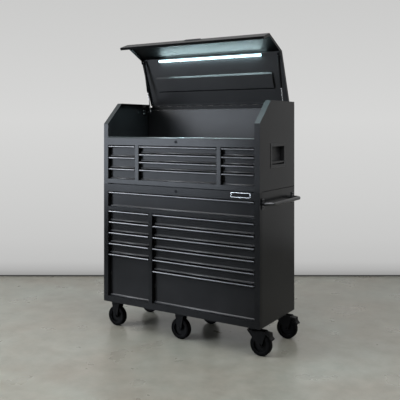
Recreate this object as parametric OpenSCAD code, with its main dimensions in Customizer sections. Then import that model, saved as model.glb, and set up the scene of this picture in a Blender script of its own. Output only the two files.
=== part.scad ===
// Rolling tool cabinet with a lift-lid top chest on it.
// Millimetres. X to the right, Y to the back, Z up, origin on the floor under the body's centre.

/* [Bodies] */
// Width of the cabinet and chest bodies
body_w = 1345; // [1240:5:1500]
// Depth of the bodies, front to back
body_d = 559; // [530:1:620]
// Height of the cabinet body
cabinet_h = 906; // [870:2:1000]
// Height of the chest at its back
chest_h = 620; // [590:2:680]
// Height of the chest's front posts
post_h = 460; // [440:2:490]
// Front-to-back run of the chest's sloping edge
slope_run = 166; // [130:2:200]
// Height of the shadow gap between the cabinet and the chest
seam_h = 6; // [3:0.5:10]
// Depth of that shadow gap
seam_in = 8; // [5:0.5:14]
// Width of the return at the back of each side panel
return_w = 20; // [14:1:28]
// Thickness of the sheet metal
sheet = 1.2; // [1:0.1:2]

/* [Front frames] */
// Width of the front corner posts
post_w = 41; // [36:1:50]
// Depth of the front frames
frame_d = 36; // [34:1:44]
// Height of the rail at the cabinet's foot
foot_rail_h = 46; // [30:1:60]
// Height of the rail under the full-width drawer
mid_rail_h = 28; // [20:1:40]
// Height of the panel above the full-width drawer
cabinet_apron_h = 56; // [50:1:64]
// Height of the rail at the chest's foot
chest_rail_h = 38; // [28:1:46]
// Height of the panel below the chest's tray
chest_apron_h = 60; // [54:1:66]
// Depth of the tray's floor below the top of that panel
tray_drop = 36; // [24:1:44]
// Width of the post between the cabinet's two columns
cabinet_divider_w = 30; // [24:1:40]
// Width of the posts between the chest's three columns
chest_divider_w = 32; // [24:1:40]

/* [Drawers] */
// Width of the cabinet's left column
cabinet_left_w = 388; // [320:2:460]
// Width of each outer column in the chest
chest_outer_w = 261; // [220:1:300]
// Height taken by the full-width drawer
wide_slot_h = 117; // [90:1:140]
// Height taken by a shallow cabinet drawer
cabinet_slot_h = 83; // [70:1:92]
// Height taken by a shallow chest drawer
chest_slot_h = 58; // [52:1:66]
// Height of the chest's drawer openings
chest_open_h = 260; // [240:1:280]
// Gap above each drawer front
front_gap = 6; // [4:0.5:9]
// Gap below each drawer front
front_foot_gap = 1.5; // [1:0.5:3]
// Gap beside each drawer front
front_side_gap = 6; // [4:0.5:9]
// How far a drawer's face lies behind the front frame
face_recess = 30; // [24:1:32]
// Height of the pull along a drawer's top edge
pull_h = 14; // [11:1:17]
// Thickness of the pull's web behind its rounded nose
pull_web_t = 3; // [2:0.5:7]
// Height and depth of the kicked-out lip at a face's foot
face_lip = 9; // [5:1:12]
// Thickness of a tray's sheets
tray_t = 0.9; // [0.8:0.1:1.6]
// Depth of a drawer's tray
tray_d = 470; // [420:2:478]
// How far a tray's rim lies below the top of its front
tray_rim_drop = 12; // [8:1:18]
// How far a tray's floor lies above the foot of its front
tray_foot = 4; // [2:0.5:8]

/* [Drawer slides] */
// Width that a slide takes beside a tray
slide_w = 13; // [11:0.5:16]
// Height of a slide's outer channel
slide_h = 30; // [24:1:34]
// Length of a slide
slide_l = 470; // [430:2:476]
// Thickness of a slide's steel
slide_t = 1.6; // [1.2:0.1:2.2]
// Thickness of the runner on a tray's side
runner_t = 5; // [3:0.5:8]
// Running gap between a runner and its channel
slide_gap = 0.3; // [0.2:0.05:0.5]

/* [Lid] */
// How far the lid stands open, in degrees
lid_open = 70.5; // [40:0.5:90]
// Depth of the rim all round the lid
lid_rim = 20; // [16:1:26]
// Gap between the closed lid and the chest's side flanges
lid_side_gap = 2.5; // [1.5:0.5:5]
// Gap between the closed lid and the panel below it
lid_foot_gap = 5; // [3:0.5:10]
// How far the long hinge stops short of the lid's ends
hinge_in = 4; // [2:1:40]
// Radius of the hinge's knuckles
knuckle_r = 3.5; // [3:0.1:4.5]
// Number of knuckles along the hinge
knuckle_count = 25; // [9:2:41]
// Radius of the hinge's pin
hinge_pin_r = 1.8; // [1.4:0.1:2]
// How far the hinge lies below the chest's top
hinge_drop = 10; // [8:0.5:12]
// Gap between the closed lid's rear rim and the back panel
back_top_gap = 2; // [1.5:0.5:4]
// Height of the hinge's leaf on the back panel
leaf_h = 30; // [20:1:40]
// Width of the stiffener inside the lid
stiffener_w = 130; // [80:2:160]
// Length of the stiffener inside the lid
stiffener_l = 1054; // [800:2:1100]
// Height of the stiffener
stiffener_h = 12; // [8:1:16]
// Distance from the lid's back edge to the stiffener
stiffener_y = 110; // [80:2:140]
// Length of the lamp along the lid's bend
lamp_l = 920; // [700:2:1000]
// Width of the lamp's housing
lamp_w = 22; // [18:1:36]
// Height of the lamp's housing
lamp_h = 14; // [12:1:20]
// Distance of the lamp behind the lid's bend
lamp_in = 6; // [5:1:20]
// Width of the pull on the lid's front lip
lid_pull_w = 130; // [90:2:180]
// How far that pull stands proud
lid_pull_d = 5; // [4:0.5:14]

/* [Gas struts] */
// Distance of each strut from the middle of the chest
strut_x = 606; // [590:1:608]
// How far a strut's foot lies in front of the back
strut_foot_in = 46; // [44:1:70]
// How far a strut's foot lies below the chest's top
strut_foot_drop = 62; // [50:1:80]
// How far a strut's head lies behind the lid's bend
strut_head_in = 16; // [12:1:30]
// How far a strut's head lies below the lid's top
strut_head_drop = 20; // [18:1:26]
// Radius of a strut's tube
strut_tube_r = 9; // [7:0.5:10]
// Length of a strut's tube
strut_tube_l = 250; // [220:2:270]
// Radius of a strut's rod
strut_rod_r = 4; // [3:0.5:5]
// How much of the rod stays in the tube when the lid is open
strut_stay = 60; // [40:2:80]
// Thickness of a strut's end fittings
strut_eye_t = 12; // [10:1:14]
// Radius of the studs that carry a strut
strut_stud_r = 4; // [3:0.5:5]
// Width and height of a strut's wall plate
strut_plate = 40; // [30:2:60]

/* [Locks] */
// Radius of a lock's barrel
lock_r = 9.5; // [8:0.5:12]
// Radius of a lock's turning plug
lock_plug_r = 7; // [5:0.5:7.5]
// Length of a lock's barrel behind the panel
lock_l = 20; // [14:1:24]
// Length of a lock's cam
lock_cam_l = 22; // [14:1:23]

/* [Push handle and side grips] */
// How far the push handle's tube stands out from the side, at its centre
handle_out = 67; // [50:1:90]
// Diameter of the push handle's tube
handle_d = 25; // [19:1:32]
// Bend radius of the push handle
handle_bend = 42; // [30:1:48]
// Front-to-back distance between the push handle's ends
handle_span = 480; // [360:2:500]
// Height of the push handle above the cabinet's foot
handle_z = 830; // [700:2:850]
// Height of the handle's end plates
handle_plate_h = 73; // [50:1:90]
// Width of the handle's end plates
handle_plate_w = 32; // [28:1:40]
// Thickness of the handle's end plates
handle_plate_t = 5; // [3:0.5:8]
// Length of a side grip's pocket
grip_l = 196; // [150:2:220]
// Height of a side grip's pocket
grip_h = 126; // [100:2:140]
// Depth of a side grip's pocket
grip_d = 34; // [26:1:35]
// Width of the flange round a side grip
grip_flange = 22; // [14:1:30]
// Thickness of a side grip's walls and flange
grip_t = 2.5; // [2:0.1:3.5]
// Height of a side grip's centre above the chest's foot
grip_z = 238; // [200:2:260]
// Height of the bar at the foot of the pocket
grip_bar_h = 11; // [8:1:16]

/* [Casters] */
// Height of the casters, floor to cabinet
caster_h = 194; // [188:1:210]
// Diameter of a wheel
wheel_d = 152; // [130:1:156]
// Width of a tyre
tyre_w = 45; // [36:1:50]
// Thickness of a tyre's tread
tyre_t = 18; // [14:1:24]
// Radius of a tyre's shoulders
shoulder_r = 9; // [6:0.5:10]
// Width of a wheel's hub at its rim
hub_w = 39; // [32:1:44]
// Thickness of a hub's rim
hub_rim_t = 8; // [5:0.5:10]
// Thickness of a hub's web
hub_web_w = 14; // [8:1:20]
// Radius of a hub's boss
hub_boss_r = 16; // [12:0.5:20]
// Distance of the outer casters from the cabinet's sides
caster_in_x = 80; // [70:1:100]
// Distance of the casters from the cabinet's front and back
caster_in_y = 70; // [66:1:90]
// Trail of the swivel casters
trail = 55; // [40:1:60]
// Thickness of the caster plates
plate_t = 4; // [3:0.5:6]
// Length of the caster plates
plate_l = 112; // [100:1:130]
// Width of the caster plates
plate_w = 100; // [90:1:120]
// Thickness of the fork legs
leg_t = 4; // [3:0.5:5]
// Gap between a tyre and a fork leg
leg_gap = 2.5; // [2:0.5:5]
// Half the width of a fork leg at its top
leg_top = 38; // [32:1:44]
// Radius of a fork leg's foot round the axle
leg_foot_r = 17; // [13:0.5:22]
// Gap between a wheel's top and the crown of a swivel fork
crown_gap = 12; // [9:0.5:16]
// Thickness of the crown
crown_t = 6; // [4:0.5:8]
// Radius of the crown
crown_r = 40; // [34:1:46]
// Radius of the ball race on the crown
race_r = 28; // [22:1:32]
// Distance of a brake pedal's pin behind the axle
pedal_lead = 32; // [24:1:36]
// Distance of that pin from the tyre
pedal_gap = 12; // [10:0.5:13]
// Radius of a brake pedal's pin
pedal_pin_r = 3.5; // [2.5:0.5:4.5]
// Radius of a brake pedal's barrel
pedal_barrel_r = 7; // [6:0.5:8]
// Length of a brake pedal's top
pedal_l = 40; // [30:1:48]
// Fall of that top along its length
pedal_fall = 4; // [2:0.5:8]
// Distance of a pedal's toe from its pin
pedal_reach = 57; // [50:1:66]
// Height of a pedal's front below its pin
pedal_front_h = 22; // [16:1:24]
// Height of a pedal's toe below its pin
pedal_toe_h = 42; // [36:1:44]
// Thickness of the toe
pedal_t = 6; // [4:0.5:8]
// Radius of a wheel's axle
axle_r = 6; // [5:0.5:8]
// Radius of an axle's heads
axle_head_r = 10; // [9:0.5:12]
// Thickness of an axle's heads
axle_head_t = 5; // [3:0.5:7]
// Radius of a swivel caster's king pin
king_r = 8; // [6:0.5:10]
// Radius of the nut under a king pin
king_nut_r = 13; // [12:0.5:15]
// Thickness of that nut
king_nut_t = 5; // [3:0.5:6]

/* [Hidden] */
// Clearance between pieces that are fixed to each other inside one assembly
fit = 0.2;
// Radial clearance of turning fits
run_fit = 0.05;
// Overshoot of a cut past the face that it opens
cut = 1;
$fn = 48;

// Main levels and planes
front_y = -body_d / 2;
back_y = body_d / 2;
side_x = body_w / 2;
cabinet_z = caster_h;
chest_z = cabinet_z + cabinet_h;
roof_z = chest_z + chest_h;
frame_back_y = front_y + frame_d;
open_w = body_w - 2 * post_w;
wide_z1 = chest_z - cabinet_apron_h;
wide_z0 = wide_z1 - wide_slot_h;
low_z1 = wide_z0 - mid_rail_h;
low_z0 = cabinet_z + foot_rail_h;
chest_open_z0 = chest_z + chest_rail_h;
chest_open_z1 = chest_open_z0 + chest_open_h;
apron_z = chest_open_z1 + chest_apron_h;
tray_z = apron_z - tray_drop;
floor_rim_h = 3 * seam_h;

// Columns, as their left and right edges
cabinet_split_x = -open_w / 2 + cabinet_left_w;
cabinet_left_col = [-open_w / 2, cabinet_split_x];
cabinet_right_col = [cabinet_split_x + cabinet_divider_w, open_w / 2];
full_col = [-open_w / 2, open_w / 2];
chest_left_col = [-open_w / 2, -open_w / 2 + chest_outer_w];
chest_right_col = [open_w / 2 - chest_outer_w, open_w / 2];
chest_centre_col = [chest_left_col[1] + chest_divider_w, chest_right_col[0] - chest_divider_w];

// A column's drawers from the top down: equal shallow slots and one that takes what is left
function slots(z1, height, n, shallow) =
    [for (i = [0 : n]) [i < n ? z1 - (i + 1) * shallow : z1 - height, z1 - i * shallow]];
function column(name, col, levels) =
    [for (i = [0 : len(levels) - 1]) [str(name, i + 1), col, levels[i]]];
low_h = low_z1 - low_z0;
DRAWERS = concat(
    column("chest_left_drawer_", chest_left_col,
        slots(chest_open_z1, chest_open_h, 2, chest_open_h / 3)),
    column("chest_centre_drawer_", chest_centre_col,
        slots(chest_open_z1, chest_open_h, 3, chest_slot_h)),
    column("chest_right_drawer_", chest_right_col,
        slots(chest_open_z1, chest_open_h, 3, chest_slot_h)),
    [["cabinet_wide_drawer", full_col, [wide_z0, wide_z1]]],
    column("cabinet_left_drawer_", cabinet_left_col, slots(low_z1, low_h, 4, cabinet_slot_h)),
    column("cabinet_right_drawer_", cabinet_right_col, slots(low_z1, low_h, 5, cabinet_slot_h))
);

// Drawer stack-up, front to back
face_y = front_y + face_recess;
tray_y = face_y + sheet + fit;
slide_y = frame_back_y + fit;
slide_web_w = slide_w - slide_t;

// Side profile of the chest's sloping top, and the same profile moved inwards by d
slope_a = atan((chest_h - post_h) / slope_run);
bend_y = front_y + slope_run;
function roof_crease(d) = [bend_y + d * tan(slope_a / 2), roof_z - d];
function roof_front(d) =
    [front_y + d, roof_crease(d)[1] - (roof_crease(d)[0] - front_y - d) * tan(slope_a)];
lid_foot_z = apron_z + lid_foot_gap;
lid_w = open_w - 2 * lid_side_gap;
lid_back_y = back_y - fit;

// The lid's hinge line, and a point of the closed lid carried to where it stands open
hinge_y = back_y + knuckle_r;
hinge_z = roof_z - hinge_drop;
function opened(p) = [
    hinge_y + (p[0] - hinge_y) * cos(lid_open) + (p[1] - hinge_z) * sin(lid_open),
    hinge_z - (p[0] - hinge_y) * sin(lid_open) + (p[1] - hinge_z) * cos(lid_open)
];
leaf_t = 1.2;
hinge_l = lid_w - 2 * hinge_in;
knuckle_l = hinge_l / knuckle_count;
back_top_z = roof_z - lid_rim - back_top_gap;

// The lamp lies behind the lid's bend
lamp_y = bend_y + lamp_in;
lens_r = lamp_w / 2;

// Gas struts, from the stud on the wall to the stud on the lid
strut_head_shut = [bend_y + strut_head_in, roof_z - strut_head_drop];
strut_head = opened(strut_head_shut);
strut_foot = [back_y - strut_foot_in, roof_z - strut_foot_drop];
strut_l = norm(strut_head - strut_foot);
strut_a = atan2(strut_foot[0] - strut_head[0], strut_head[1] - strut_foot[1]);
strut_wall_t = 2;

// Locks sit in the middle of their panels
lock_flange = 2;
lock_zs = [apron_z - chest_apron_h / 2, chest_z - cabinet_apron_h / 2];
lock_cam_t = 2;

// Casters
caster_x = side_x - caster_in_x;
caster_y = body_d / 2 - caster_in_y;
wheel_r = wheel_d / 2;
plate_z = cabinet_z - plate_t;
fork_in = tyre_w / 2 + leg_gap;
crown_z = wheel_d + crown_gap;
pedal_x = trail + pedal_lead;
pedal_z = wheel_r + sqrt(pow(wheel_r + pedal_gap, 2) - pow(pedal_lead, 2));
pedal_w = 2 * (fork_in - cut);
tyre_in = wheel_r - tyre_t;

paint = "#2b2d30";
paint_dark = "#1d1f21";
steel = "#b9bdc1";
rubber = "#161718";

// Shared shapes

// A box between two opposite corners
module box(low, high) {
    translate(low) cube(high - low);
}

// A profile drawn in Y and Z, run along X and centred on the middle of the object
module run_x(length) {
    rotate([90, 0, 90]) translate([0, 0, -length / 2]) linear_extrude(length) children();
}

// A folded frame member with a front face and returns to the back, open at the back
module frame_member(x0, x1, z0, z1) {
    difference() {
        box([x0, front_y, z0], [x1, frame_back_y, z1]);
        box([x0 + sheet, front_y + sheet, z0 + sheet], [x1 - sheet, frame_back_y + cut, z1 - sheet]);
    }
}

// A rail that runs between the corner posts
module frame_rail(z0, z1) {
    frame_member(full_col[0] + fit, full_col[1] - fit, z0, z1);
}

// A rail with the round hole of a lock
module lock_rail(z0, z1, lock_z) {
    difference() {
        frame_rail(z0, z1);
        translate([0, front_y - cut, lock_z]) rotate([-90, 0, 0])
            cylinder(r = lock_r + fit, h = sheet + 2 * cut);
    }
}

// Both sides alike: the children drawn on the right, and mirrored to the left
module both_sides() {
    children();
    mirror([1, 0, 0]) children();
}

// The lid's pieces are drawn closed and stand open at the hinge
module stand_open() {
    translate([0, hinge_y, hinge_z]) rotate([-lid_open, 0, 0])
        translate([0, -hinge_y, -hinge_z]) children();
}

// Cabinet

module cabinet_front_frame() {
    color(paint) {
        both_sides() frame_member(full_col[1], side_x, cabinet_z, chest_z - fit);
        frame_rail(cabinet_z, low_z0);
        frame_rail(low_z1, wide_z0);
        lock_rail(wide_z1, chest_z - fit, lock_zs[1]);
        frame_member(cabinet_split_x, cabinet_right_col[0], low_z0 + fit, low_z1 - fit);
    }
}

// A side panel with its return at the back
module cabinet_sides() {
    color(paint) both_sides() {
        box([side_x - sheet, frame_back_y, cabinet_z], [side_x, back_y - sheet, chest_z - fit]);
        box([side_x - return_w, back_y - 2 * sheet, cabinet_z], [side_x, back_y - sheet, chest_z - fit]);
    }
}

module cabinet_top() {
    color(paint) box(
        [-side_x + sheet, frame_back_y, chest_z - sheet - fit],
        [side_x - sheet, back_y - 2 * sheet, chest_z - fit]
    );
}

// The cabinet's flat floor, and the chest's floor with a raised rim behind the shadow gap
module floor_pans() {
    color(paint_dark) {
        box(
            [-side_x + sheet, frame_back_y, cabinet_z],
            [side_x - sheet, back_y - 2 * sheet, cabinet_z + sheet]
        );
        difference() {
            box(
                [-side_x + seam_in, frame_back_y, chest_z],
                [side_x - seam_in, back_y - 2 * sheet, chest_z + floor_rim_h]
            );
            box(
                [-side_x + seam_in + sheet, frame_back_y + sheet, chest_z + sheet],
                [side_x - seam_in - sheet, back_y - 3 * sheet, chest_z + floor_rim_h + cut]
            );
        }
    }
}

// The cabinet's back and the chest's back, which stops below the hinge
module back_panels() {
    color(paint) {
        box([-side_x, back_y - sheet, cabinet_z], [side_x, back_y, chest_z - fit]);
        box([-side_x, back_y - sheet, chest_z], [side_x, back_y, back_top_z]);
    }
}

// Upright inner walls beside every column, which carry the slides
module slide_wall(x, z0, z1) {
    box([x, frame_back_y, z0], [x + sheet, back_y - 2 * sheet, z1]);
}

module slide_walls() {
    cabinet_foot = cabinet_z + sheet;
    chest_foot = chest_z + floor_rim_h;
    color(paint_dark) {
        slide_wall(full_col[0] - sheet, cabinet_foot, chest_z - sheet - fit);
        slide_wall(full_col[1], cabinet_foot, chest_z - sheet - fit);
        slide_wall(cabinet_split_x, cabinet_foot, wide_z0);
        slide_wall(cabinet_right_col[0] - sheet, cabinet_foot, wide_z0);
        slide_wall(full_col[0] - sheet, chest_foot, tray_z);
        slide_wall(full_col[1], chest_foot, tray_z);
        slide_wall(chest_left_col[1], chest_foot, tray_z);
        slide_wall(chest_centre_col[0] - sheet, chest_foot, tray_z);
        slide_wall(chest_centre_col[1], chest_foot, tray_z);
        slide_wall(chest_right_col[0] - sheet, chest_foot, tray_z);
    }
}

// Chest

module chest_front_frame() {
    under_z = roof_front(sheet)[1];
    color(paint) {
        both_sides() intersection() {
            frame_member(full_col[1], side_x, chest_z, roof_z);
            run_x(body_w) polygon([
                [front_y + sheet, under_z],
                [frame_back_y, under_z + (frame_d - sheet) * tan(slope_a)],
                [frame_back_y, chest_z],
                [front_y, chest_z],
                [front_y, under_z - sheet * tan(slope_a)]
            ]);
        }
        frame_rail(chest_z + seam_h, chest_open_z0);
        lock_rail(chest_open_z1, apron_z, lock_zs[0]);
        frame_member(chest_left_col[1], chest_centre_col[0], chest_open_z0 + fit, chest_open_z1 - fit);
        frame_member(chest_centre_col[1], chest_right_col[0], chest_open_z0 + fit, chest_open_z1 - fit);
    }
}

// A side panel with a flange along its sloping top, a return at the back and a grip's window
module chest_sides() {
    slope_foot_z = roof_front(0)[1];
    window_rim = 2 * (grip_t + fit);
    color(paint) both_sides() {
        difference() {
            translate([side_x - sheet / 2, 0, 0]) run_x(sheet) polygon([
                [frame_back_y, chest_z + seam_h],
                [back_y - sheet, chest_z + seam_h],
                [back_y - sheet, roof_z],
                roof_crease(0),
                [frame_back_y, slope_foot_z + frame_d * tan(slope_a)]
            ]);
            translate([side_x, 0, chest_z + grip_z])
                cube([4 * sheet, grip_l + window_rim, grip_h + window_rim], center = true);
        }
        translate([side_x - post_w / 2, 0, 0]) run_x(post_w) polygon([
            [back_y - sheet, roof_z],
            roof_crease(0),
            roof_front(0),
            [front_y, slope_foot_z - sheet / cos(slope_a)],
            roof_crease(sheet),
            [back_y - sheet, roof_z - sheet]
        ]);
        box([side_x - return_w, back_y - 2 * sheet, chest_z + seam_h], [side_x, back_y - sheet, roof_z]);
    }
}

// Floor of the open tray under the lid
module chest_tray() {
    color(paint_dark) box(
        [-side_x + sheet, frame_back_y, tray_z],
        [side_x - sheet, back_y - 2 * sheet, tray_z + sheet]
    );
}

// A moulded hand pocket in each side, with a flange outside and a bar to hold at its foot
module side_grips() {
    color(paint_dark) both_sides() translate([side_x, 0, chest_z + grip_z]) {
        difference() {
            union() {
                translate([grip_t / 2, 0, 0])
                    cube([grip_t, grip_l + 2 * grip_flange, grip_h + 2 * grip_flange], center = true);
                translate([-grip_d / 2, 0, 0])
                    cube([grip_d, grip_l + 2 * grip_t, grip_h + 2 * grip_t], center = true);
            }
            translate([-grip_d + grip_t, -grip_l / 2, -grip_h / 2]) cube([grip_d + cut, grip_l, grip_h]);
        }
        translate([-grip_bar_h, -grip_l / 2, -grip_h / 2 + grip_bar_h])
            cube([grip_bar_h, grip_l, grip_bar_h]);
    }
}

// Push handle: one bent tube and its two end plates
module push_handle() {
    bend_x = handle_out - handle_bend;
    bend_dy = handle_span / 2 - handle_bend;
    color(paint_dark) translate([side_x, 0, cabinet_z + handle_z]) {
        for (s = [-1, 1]) scale([1, s, 1]) {
            translate([bend_x, bend_dy, 0]) rotate_extrude(angle = 90)
                translate([handle_bend, 0]) circle(d = handle_d);
            translate([handle_plate_t + fit, bend_dy + handle_bend, 0]) rotate([0, 90, 0])
                cylinder(d = handle_d, h = bend_x - handle_plate_t - fit);
            translate([0, bend_dy + handle_bend - handle_plate_w / 2, -handle_plate_h / 2])
                cube([handle_plate_t, handle_plate_w, handle_plate_h]);
        }
        translate([handle_out, bend_dy, 0]) rotate([90, 0, 0]) cylinder(d = handle_d, h = 2 * bend_dy);
    }
}

// Locks

module lock_barrels() {
    color(steel) for (z = lock_zs) translate([0, front_y, z]) rotate([-90, 0, 0]) difference() {
        union() {
            translate([0, 0, -lock_flange]) cylinder(r = lock_r + lock_flange, h = lock_flange);
            cylinder(r = lock_r, h = lock_l);
        }
        translate([0, 0, -lock_flange - cut])
            cylinder(r = lock_plug_r + run_fit, h = lock_l + lock_flange + 2 * cut);
    }
}

// A turning plug with a key slot in front and a cam behind the barrel
module lock_plug(z) {
    slot_w = 1.6;
    slot_depth = 4;
    color(steel) translate([0, front_y, z]) rotate([-90, 0, 0]) {
        difference() {
            translate([0, 0, -lock_flange])
                cylinder(r = lock_plug_r, h = lock_l + lock_flange + lock_cam_t);
            translate([-slot_w / 2, -lock_plug_r / 2, -lock_flange - cut])
                cube([slot_w, lock_plug_r, slot_depth + cut]);
        }
        translate([-lock_plug_r, 0, lock_l + fit]) cube([2 * lock_plug_r, lock_cam_l, lock_cam_t]);
    }
}

module chest_lock_plug() {
    lock_plug(lock_zs[0]);
}

module cabinet_lock_plug() {
    lock_plug(lock_zs[1]);
}

// Lid

// Outer skin with a rim folded in all round, drawn closed
module lid_shell() {
    color(paint) stand_open() difference() {
        run_x(lid_w) polygon([
            [lid_back_y, roof_z],
            roof_crease(0),
            roof_front(0),
            [front_y, lid_foot_z],
            [front_y + lid_rim, lid_foot_z],
            roof_front(lid_rim),
            roof_crease(lid_rim),
            [lid_back_y, roof_z - lid_rim]
        ]);
        run_x(lid_w - 2 * sheet) polygon([
            [lid_back_y - sheet, roof_z - sheet],
            roof_crease(sheet),
            roof_front(sheet),
            [front_y + sheet, lid_foot_z + sheet],
            [front_y + lid_rim + cut, lid_foot_z + sheet],
            roof_front(lid_rim + cut),
            roof_crease(lid_rim + cut),
            [lid_back_y - sheet, roof_z - lid_rim - cut]
        ]);
    }
}

// A wide hat section with sloping flanks across the inside of the lid
module lid_stiffener() {
    skin_z = roof_z - sheet - fit;
    flank = sheet * sqrt(2);
    inner_h = stiffener_h - sheet;
    y0 = back_y - stiffener_y - stiffener_w;
    y1 = back_y - stiffener_y;
    color(paint) stand_open() run_x(stiffener_l) difference() {
        polygon([
            [y0, skin_z],
            [y1, skin_z],
            [y1 - stiffener_h, skin_z - stiffener_h],
            [y0 + stiffener_h, skin_z - stiffener_h]
        ]);
        polygon([
            [y0 + flank - cut, skin_z + cut],
            [y1 - flank + cut, skin_z + cut],
            [y1 - flank - inner_h, skin_z - inner_h],
            [y0 + flank + inner_h, skin_z - inner_h]
        ]);
    }
}

// A hooked pull on the lid's front lip, and the lock's strike inside the lip's foot
module lid_pull_and_strike() {
    pull_top = roof_front(0)[1] - sheet;
    pull_drop = 30;
    strike_w = 40;
    strike_h = 24;
    strike_t = 3;
    color(paint_dark) stand_open() {
        run_x(lid_pull_w) difference() {
            union() {
                translate([front_y - lid_pull_d + fit, pull_top - pull_drop])
                    square([lid_pull_d - 2 * fit, pull_drop - lid_pull_d / 2]);
                translate([front_y - lid_pull_d / 2, pull_top - lid_pull_d / 2])
                    circle(r = lid_pull_d / 2 - fit);
            }
            translate([front_y - lid_pull_d / 2, pull_top - pull_drop - cut])
                square([lid_pull_d, pull_drop - lid_pull_d]);
        }
        run_x(strike_w) translate([front_y + sheet + fit, lid_foot_z + sheet + fit]) difference() {
            square([lid_rim - 2 * sheet, strike_h]);
            translate([strike_t, strike_t]) square([lid_rim, strike_h]);
        }
    }
}

// Lamp behind the lid's bend: a channel and a rounded lens
module lamp_housing() {
    color(steel) stand_open() run_x(lamp_l) translate([lamp_y, roof_z - sheet - fit - lamp_h])
        difference() {
            square([lamp_w, lamp_h]);
            translate([sheet, -cut]) square([lamp_w - 2 * sheet, lamp_h - sheet + cut]);
        }
}

module lamp_lens() {
    lens_in = sheet + fit;
    color("white") stand_open() run_x(lamp_l - 2 * sheet) {
        translate([lamp_y + lens_in, roof_z - sheet - fit - lamp_h]) {
            square([lamp_w - 2 * lens_in, lamp_h - lens_in]);
            intersection() {
                translate([lens_r - lens_in, lens_r / 2]) circle(r = lens_r);
                translate([0, -lens_r]) square([lamp_w - 2 * lens_in, lens_r]);
            }
        }
    }
}

// Long hinge

// One leaf's knuckles, every second one along the hinge, with the pin's bore
module knuckles(first) {
    for (i = [first : 2 : knuckle_count - 1]) {
        translate([-hinge_l / 2 + i * knuckle_l + fit, hinge_y, hinge_z]) rotate([0, 90, 0])
            difference() {
                cylinder(r = knuckle_r - fit, h = knuckle_l - 2 * fit);
                translate([0, 0, -cut]) cylinder(r = hinge_pin_r + run_fit, h = knuckle_l + 2 * cut);
            }
    }
}

// The leaf on the back panel, with its knuckles and the pin
module hinge_back_leaf() {
    color(steel) {
        difference() {
            union() {
                box(
                    [-hinge_l / 2, back_y, hinge_z - leaf_h],
                    [hinge_l / 2, back_y + leaf_t, hinge_z - knuckle_r - fit]
                );
                for (i = [0 : 2 : knuckle_count - 1]) {
                    x0 = -hinge_l / 2 + i * knuckle_l + fit;
                    box(
                        [x0, back_y, hinge_z - knuckle_r - cut],
                        [x0 + knuckle_l - 2 * fit, back_y + leaf_t, hinge_z]
                    );
                }
            }
            translate([-hinge_l / 2 - cut, hinge_y, hinge_z]) rotate([0, 90, 0])
                cylinder(r = hinge_pin_r + run_fit, h = hinge_l + 2 * cut);
        }
        knuckles(0);
        translate([-hinge_l / 2, hinge_y, hinge_z]) rotate([0, 90, 0])
            cylinder(r = hinge_pin_r, h = hinge_l);
    }
}

// The leaf on the lid's rear rim
module hinge_lid_leaf() {
    color(steel) stand_open() {
        box(
            [-hinge_l / 2, back_y + fit, hinge_z + knuckle_r + fit],
            [hinge_l / 2, back_y + leaf_t, roof_z - fit]
        );
        for (i = [1 : 2 : knuckle_count - 1]) {
            x0 = -hinge_l / 2 + i * knuckle_l + fit;
            box(
                [x0, back_y + fit, hinge_z],
                [x0 + knuckle_l - 2 * fit, back_y + leaf_t, hinge_z + knuckle_r + cut]
            );
        }
        knuckles(1);
    }
}

// Gas struts

// A plate on each side wall with the stud that a strut's foot turns on
module strut_wall_brackets() {
    stud_in = strut_x + strut_eye_t / 2 + fit;
    color(steel) both_sides() translate([0, strut_foot[0], strut_foot[1]]) {
        translate([side_x - sheet - strut_wall_t - fit, -strut_plate / 2, -strut_plate / 2])
            cube([strut_wall_t, strut_plate, strut_plate]);
        translate([stud_in, 0, 0]) rotate([0, 90, 0])
            cylinder(r = strut_stud_r, h = side_x - sheet - strut_wall_t - stud_in);
    }
}

// A bracket under each end of the lid's bend with the stud that a strut's head turns on
module strut_lid_brackets() {
    bracket_w = 30;
    rim_in = lid_w / 2 - sheet - fit;
    color(steel) stand_open() both_sides() {
        translate([0, strut_head_shut[0], 0]) box(
            [rim_in - strut_wall_t, -bracket_w / 2, strut_head_shut[1] - strut_head_drop / 2],
            [rim_in, bracket_w / 2, roof_z - sheet - fit]
        );
        translate([strut_x - strut_eye_t / 2 - fit, strut_head_shut[0], strut_head_shut[1]])
            rotate([0, 90, 0]) cylinder(r = strut_stud_r, h = rim_in - strut_x + strut_eye_t / 2);
    }
}

// Children drawn from the strut's head at the origin down its axis, on both sides
module on_struts() {
    both_sides() translate([strut_x, strut_head[0], strut_head[1]])
        rotate([strut_a, 0, 0]) children();
}

module strut_tubes() {
    bore_top = 30;
    wall = 2;
    guide_l = 12;
    neck_l = strut_tube_r + strut_stud_r;
    color(paint_dark) on_struts() difference() {
        union() {
            rotate([0, 90, 0]) cylinder(r = strut_tube_r, h = strut_eye_t, center = true);
            translate([0, 0, -strut_tube_l]) cylinder(r = strut_tube_r, h = strut_tube_l - neck_l);
            translate([0, 0, -neck_l - cut]) cylinder(r = strut_tube_r / 2, h = strut_stud_r + 2 * cut);
        }
        rotate([0, 90, 0])
            cylinder(r = strut_stud_r + run_fit, h = strut_eye_t + 2 * cut, center = true);
        translate([0, 0, -strut_tube_l + guide_l])
            cylinder(r = strut_tube_r - wall, h = strut_tube_l - guide_l - bore_top);
        translate([0, 0, -strut_tube_l - cut])
            cylinder(r = strut_rod_r + run_fit, h = guide_l + 2 * cut);
    }
}

module strut_rods() {
    rod_top = -strut_tube_l + strut_stay;
    color(steel) on_struts() {
        translate([0, 0, -strut_l]) cylinder(r = strut_rod_r, h = strut_l + rod_top);
        translate([0, 0, -strut_l]) rotate([0, 90, 0])
            cylinder(r = strut_tube_r, h = strut_eye_t, center = true);
    }
}

// Casters

// The bolted top plate of a caster
module caster_plate() {
    translate([-plate_l / 2, -plate_w / 2, plate_z]) cube([plate_l, plate_w, plate_t]);
}

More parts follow.
